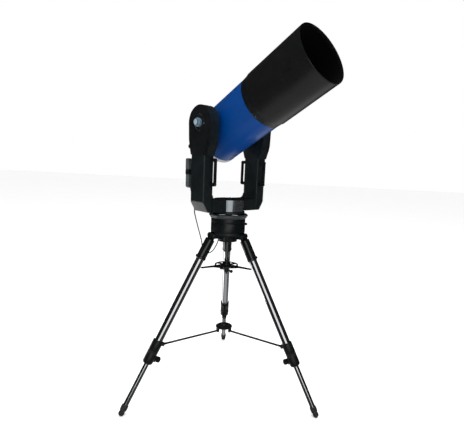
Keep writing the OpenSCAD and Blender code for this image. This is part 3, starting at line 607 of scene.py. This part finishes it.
# optical tube and its cells
turned("shield_flock_lining", [(152.9, 341), (152.9, 656), (151.5, 656), (151.5, 341)], "shield", MAT["flock"], M_TUBE, 96)
SEAM = 283.5
seam_v, seam_f = [], []
for i in range(9):
    a = math.radians(-5 + 10 * i / 8)
    for r in (154.8, 155.5):
        for z in (309.5, 668):
            seam_v.append((r * math.cos(a) / 1000, r * math.sin(a) / 1000, z / 1000))
for i in range(8):
    a, b = i * 4, (i + 1) * 4
    seam_f += [[a + 2, a + 3, b + 3, b + 2], [a, b, b + 1, a + 1], [a, a + 2, b + 2, b], [a + 1, b + 1, b + 3, a + 3]]
seam_f += [[0, 1, 3, 2], [32, 34, 35, 33]]
add("shield_lap_seam", seam_v, seam_f, "shield", MAT["shield"], 35, M_TUBE @ Matrix.Rotation(math.radians(SEAM), 4, "Z"))
many("shield_rivets", SMALL, [radial(M_TUBE, 155.25, SEAM + s * 3.4, z) for s in (-1,) for z in range(325, 665, 42)], "shield", MAT["blacksteel"])
turned("corrector_retaining_ring", [(125.5, 329.9), (137.9, 329.9), (137.9, 332.4), (137.2, 333), (126.6, 333), (125.5, 332)], "tube_assembly", MAT["plastic"], M_TUBE, 96)
many("retaining_ring_screws", SMALL, [facing(M_TUBE, 131.5, 22.5 + 45 * i, 332.9) for i in range(8)], "tube_assembly", MAT["steel"])
many("tube_front_screws", SMALL, [radial(M_TUBE, 148.8, 15 + 30 * i, 259) for i in range(12)], "tube_assembly", MAT["blacksteel"])
many("tube_rear_screws", SMALL, [radial(M_TUBE, 148.8, 15 + 30 * i, -122.5) for i in range(12)], "tube_assembly", MAT["steel"])
many("front_cell_screws", PAN, [radial(M_TUBE, 149.9, 45 + 90 * i, 276) for i in range(4)], "tube_assembly", MAT["steel"])
many("collimation_screws", SCREW, [facing(M_TUBE, 27, 30 + 120 * i, 345.8) for i in range(3)], "tube_assembly", MAT["steel"])
turned("secondary_cap_ring", [(33, 345.9), (38, 345.9), (38, 346.9), (37.4, 347.3), (33.6, 347.3), (33, 346.9)], "tube_assembly", MAT["plastic"], M_TUBE, 64)
turned("secondary_mirror_face", [(0, 289.4), (28.5, 289.4), (29, 290.2), (0, 290.2)], "tube_assembly", MAT["mirror"], M_TUBE, 48)
many("rear_cell_screws", SCREW, [facing(M_TUBE, 92, 0 + 60 * i, -190.2, -1) for i in range(6)], "tube_assembly", MAT["blacksteel"])
many("rear_accessory_screws", PAN, [radial(M_TUBE, 150.0, a, -142) for a in (170, 180, 190)], "tube_assembly", MAT["steel"])
# the rim line takes the same light grey, a painted reflection on a blackish rim
turned("rear_cell_rim_line", [(150.3, -145.5), (150.95, -145.2), (150.95, -144.2), (150.3, -143.9)], "tube_assembly", MAT["painted_reflection_grey"], M_TUBE, 96)
v, f = helix(21.9, 22.9, -237, -214.5, 1.06, 36)
merged("visual_back_thread", [(v, f, M_TUBE)], "tube_assembly", MAT["steel"], 25)
many("visual_back_lock_screws", BIG, [radial(M_TUBE, 30.7, 60 + 120 * i, -203) for i in range(3)], "tube_assembly", MAT["blacksteel"])
turned("focus_knob_cap", [(0, -228.9), (10.5, -228.9), (11.5, -228.2), (11.5, -227.5), (0, -227.5)], "focuser", MAT["steel"], place(M_TUBE, -72, 26), 32)
for s, nm in ((-1, "left"), (1, "right")):
    side = m_side(s, 0)
    many("trunnion_bolts_" + nm, BIG, [facing(m_side(s, 0) , 45, 45 + 90 * i, 163.6) for i in range(4)], "tube_assembly", MAT["blacksteel"])

# altitude covers: recess, dial and screws
for s, nm in ((-1, "left"), (1, "right")):
    q = m_side(s, 0)
    turned("altitude_dial_" + nm, [(31, 230.7), (46.2, 230.7), (46.2, 232.2), (45.4, 232.8), (32, 232.8), (31, 232)], "fork", MAT["dial"], q, 72)
    v, f = ticks(42.2, 45.0, 232.7, 232.95, 5, 6, 2.4, 0.45)
    merged("altitude_dial_marks_" + nm, [(v, f, q)], "fork", MAT["faintmarks"], 35)
    many("altitude_dial_screws_" + nm, PAN, [facing(q, 38.6, a, 232.6) for a in (172, -8)], "fork", MAT["zinc"])
    many("cover_screws_" + nm, SCREW, [place(q, x, -s * y * -1 if False else (y if s < 0 else -y), 239.0) for x, y in ((-60, -128), (52, -128))], "fork", MAT["blacksteel"])
turned("lock_knob_face", [(0, 254.2), (9, 254.0), (15, 253.4), (15, 254.2), (9, 255.1), (0, 255.4)], "lock_knob", MAT["knobface"], m_side(-1, 0) @ Matrix.Translation((0, 0, 0.0064)), 48)
turned("altitude_hub_cap", [(0, 230.6), (19, 230.6), (19, 236), (16.5, 238.6), (0, 239.4)], "fork", MAT["cast"], m_side(1, 0), 48)

# fork: bosses and drive-base details
many("handle_feet_left", lathe([(0, -0.2), (7.6, -0.2), (7.6, 1.6), (6.8, 2.4), (0, 2.4)], 32, False), [M_FORK @ Matrix.Translation(((57 if k > 0 else -62) / 1000, sx_ * 0.190, z / 1000)) @ Matrix.Rotation(k * math.pi / 2, 4, "Y") for k in (-1, 1) for sx_ in (-1, 1) for z in (1322.5, 1421.5)], "fork", MAT["plastic"])
many("fork_base_bolts", BIG, [facing(M_FORK, 74, 45 + 90 * i, 1216.6) for i in range(4)], "fork", MAT["blacksteel"])
turned("fork_base_cap", [(0, 1216.5), (30, 1216.5), (30, 1219), (28.5, 1220.4), (12, 1220.8), (0, 1220.8)], "fork", MAT["plastic"], M_FORK, 48)
v, f = [], []
a = 0
for k in range(180):
    c = k * 2.0; long_ = k % 5 == 0
    bv, bf = box(116.3, 116.72, -0.22, 0.22, 1120.3, 1123.8 if not long_ else 1123.9)
    if not long_: bv = [(x, y, 1.1221 if z < 1.1222 else z) for x, y, z in bv]
    cc, ss = math.cos(math.radians(c)), math.sin(math.radians(c)); o0 = len(v)
    v += [(x * cc - y * ss, x * ss + y * cc, z) for x, y, z in bv]; f += [[i + o0 for i in g] for g in bf]
merged("azimuth_circle_marks", [(v, f, m_axis())], "setting_circle", MAT["faintmarks"], 35)
many("base_housing_screws", SCREW, [radial(m_axis(), 102.8, a, z) for a in (20, 60, 160, 200, 240, 280, 320) for z in (1034,)], "stand_head", MAT["blacksteel"])
P110 = m_axis(110)
many("panel_screws", SMALL, [P110 @ Matrix.Translation((0.1078, y / 1000, z / 1000)) @ Matrix.Rotation(math.pi / 2, 4, "Y") for y in (-40, 40) for z in (1038, 1088)], "stand_head", MAT["steel"])
for i, (y, z, r) in enumerate(((10, 1078, 5), (28, 1078, 7), (-30, 1046, 7))):
    ringp = [(r - 0.2, -2.6), (r - 0.2, 0.4), (r + 1.0, 0.4), (r + 1.3, -0.1), (r + 1.3, -0.4), (r - 1.4, -0.4), (r - 1.4, -2.6)]
    q = P110 @ Matrix.Translation((0.108, y / 1000, z / 1000)) @ Matrix.Rotation(math.pi / 2, 4, "Y")
    turned("panel_jack_ring_%d" % i, ringp, "stand_head", MAT["steel"], q, 32)
    turned("panel_jack_pin_%d" % i, [(0, -3), (1.2, -3), (1.2, -0.9), (0.6, -0.4), (0, -0.4)], "stand_head", MAT["brass"], q, 16)
turned("panel_lamp", [(0, -0.3), (1.6, -0.3), (1.6, 0.5), (1.0, 1.1), (0, 1.3)], "stand_head", MAT["lamp"], P110 @ Matrix.Translation((0.108, -0.008, 1.076)) @ Matrix.Rotation(math.pi / 2, 4, "Y"), 20)
v, f = box(101.5, 104.2, 27, 35, 1042, 1050)
merged("panel_socket_contacts", [(box(106.2, 106.9, 26 + 1.6 * i, 26.6 + 1.6 * i, 1041.5, 1046)[0], box(0, 1, 0, 1, 0, 1)[1], P110) for i in range(7)], "stand_head", MAT["brass"])

# tripod
for nm, deg in LEGS.items():
    L = m_leg(deg)
    ribs = [lathe([(28.8, z), (30.0, z + 0.5), (30.0, z + 2.0), (28.8, z + 2.5)], 56) for z in range(739, 757, 4)]
    merged("clamp_ribs_" + nm, [(a[0], a[1], L) for a in ribs], "leg_" + nm, MAT["rubber"])
    turned("clamp_lip_" + nm, [(24.1, 674.6), (27.2, 674.6), (27.8, 675.4), (27.8, 676.4), (24.1, 676.4)], "leg_" + nm, MAT["plastic"], L, 56)
    turned("clamp_wiper_" + nm, [(15.62, 815), (20, 815), (20, 817.6), (18.8, 818.8), (15.62, 818.8)], "leg_" + nm, MAT["rubber"], L, 48)
    turned("socket_lip_" + nm, [(24.1, 154.6), (26.6, 154.6), (26.6, 156.2), (25.8, 157), (24.1, 157)], "leg_" + nm, MAT["rubber"], L, 56)
    many("socket_screws_" + nm, SCREW, [radial(L, 28.0, s * 90, z) for s in (-1, 1) for z in (62, 104)], "leg_" + nm, MAT["blacksteel"])
    many("clamp_screws_" + nm, SCREW, [radial(L, 30.0, s * 90, 783) for s in (-1, 1)], "leg_" + nm, MAT["blacksteel"])
    turned("foot_ring_" + nm, [(18.8, 1082), (19.6, 1082.4), (19.6, 1084.4), (18.8, 1084.8)], "lower_" + nm, MAT["rubber"], L, 40)
    turned("foot_ring_b_" + nm, [(18.8, 1090), (19.6, 1090.4), (19.6, 1092.4), (18.8, 1092.8)], "lower_" + nm, MAT["rubber"], L, 40)
    turned("knob_insert_" + nm, [(0, 42.8), (6.2, 42.8), (6.2, 43.4), (5.2, 44.0), (0, 44.2)], "knob_" + nm, MAT["steel"], place(L, 20, 0, 783, ry=90), 24)
    many("strut_pin_" + nm, lathe([(0, -0.2), (4.4, -0.2), (4.4, 1.6), (3.4, 2.6), (0, 2.9)], 24, False), [place(L, 38, 10.0, 690, rx=-90), place(L, 38, -10.0, 690, rx=90)], "leg_" + nm, MAT["steel"])
v, f = helix(6.4, 7.35, 850, 982, 2.0, 20)
merged("tension_rod_thread", [(v, f, m_axis())], "stand_head", MAT["steel"], 25)
turned("tension_washer", [(7.3, 843.9), (15.5, 843.9), (15.5, 845.8), (7.3, 845.8)], "spreader", MAT["steel"], m_axis(), 40)
many("spreader_bolts", BIG, [facing(m_axis(), 40, a, 811.0) for a in (90, 210, 330)], "spreader", MAT["steel"])
many("hub_pins", lathe([(0, -0.1), (3.2, -0.1), (3.2, 1.2), (2.4, 2.0), (0, 2.2)], 20, False), [m_axis(a) @ Matrix.Translation((0.0435, s * 0.009, 0.384)) @ Matrix.Rotation(-s * math.pi / 2, 4, "X") for a in (90, 210, 330) for s in (-1, 1)], "hub", MAT["steel"])
turned("hub_centre_bolt", [(0, 413.8), (8, 413.8), (8, 417), (6.8, 418.6), (0, 418.8)], "hub", MAT["steel"], m_axis(), 6, 25)

# hand controller
HC = M_FORK @ Matrix.Translation((-0.109, -0.186, 0)) @ Matrix.Rotation(-math.pi / 2, 4, "Y")
lv, lf = box(1394.5, 1423.5, -24.5, 24.5, 28.4, 29.2)
bevelled(merged("handset_display_window", [(lv, lf, HC)], "fork", MAT["lcd"]), 0.0004)
fr = [box(1390.4, 1393.2, -28.4, 28.4, 29.6, 30.9), box(1424.8, 1427.6, -28.4, 28.4, 29.6, 30.9), box(1393.2, 1424.8, -28.4, -25.8, 29.6, 30.9), box(1393.2, 1424.8, 25.8, 28.4, 29.6, 30.9)]
bevelled(merged("handset_display_bezel", [(a[0], a[1], HC) for a in fr], "fork", MAT["plastic"]), 0.0005)
kv = []
for i in range(6):
    for j in range(3):
        kv.append((*lathe([(0, 31.0), (3.4, 31.0), (3.4, 31.5), (2.6, 32.0), (0, 32.2)], 20, False), place(HC, 1303 + i * 12, -13 + j * 13)))
merged("handset_key_tops", [(a, fix(a, b), c) for a, b, c in kv], "fork", MAT["keytop"])
many("handset_screws", SMALL, [place(HC, x, y, 29.8) for x in (1286,) for y in (-16, 16)], "fork", MAT["steel"])
many("holder_clips", (*box(1352.5, 1377.5, -38.2, -36.6, 2, 24),), [HC], "fork", MAT["steel"])
many("holder_clips_far", (*box(1352.5, 1377.5, 36.6, 38.2, 2, 24),), [HC], "fork", MAT["steel"])
